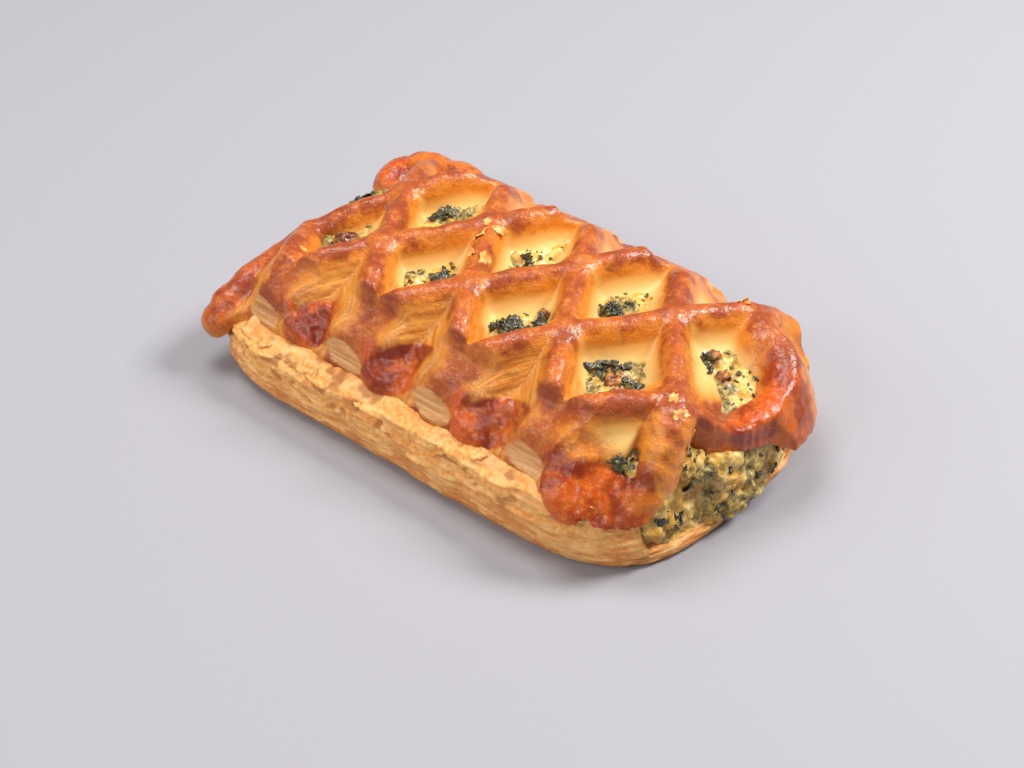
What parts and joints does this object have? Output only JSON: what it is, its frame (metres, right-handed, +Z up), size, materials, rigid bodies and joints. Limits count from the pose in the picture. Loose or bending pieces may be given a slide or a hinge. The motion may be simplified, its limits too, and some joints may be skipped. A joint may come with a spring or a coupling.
{
  "type": "pastry",
  "caption": "Rectangular lattice-top puff pastry turnover, glossy browned crust with layered sides, spinach and cheese filling showing in the openings and at both ends.",
  "frame": {"origin": "centre of the footprint, on the surface it rests on", "axes": "+X along the pastry towards the end with the broad loop, +Y across it, +Z up"},
  "size_m": [0.1321, 0.0798, 0.0344],
  "materials": {
    "browned_lattice": "glossy egg-washed crust",
    "layered_side": "dry flaky layers",
    "spinach_and_cheese": "moist, lumpy"
  },
  "bodies": {
    "root": {"base_sheet": "layered_side", "filling": "spinach_and_cheese", "lattice_top": "browned_lattice"}
  },
  "joints": []
}
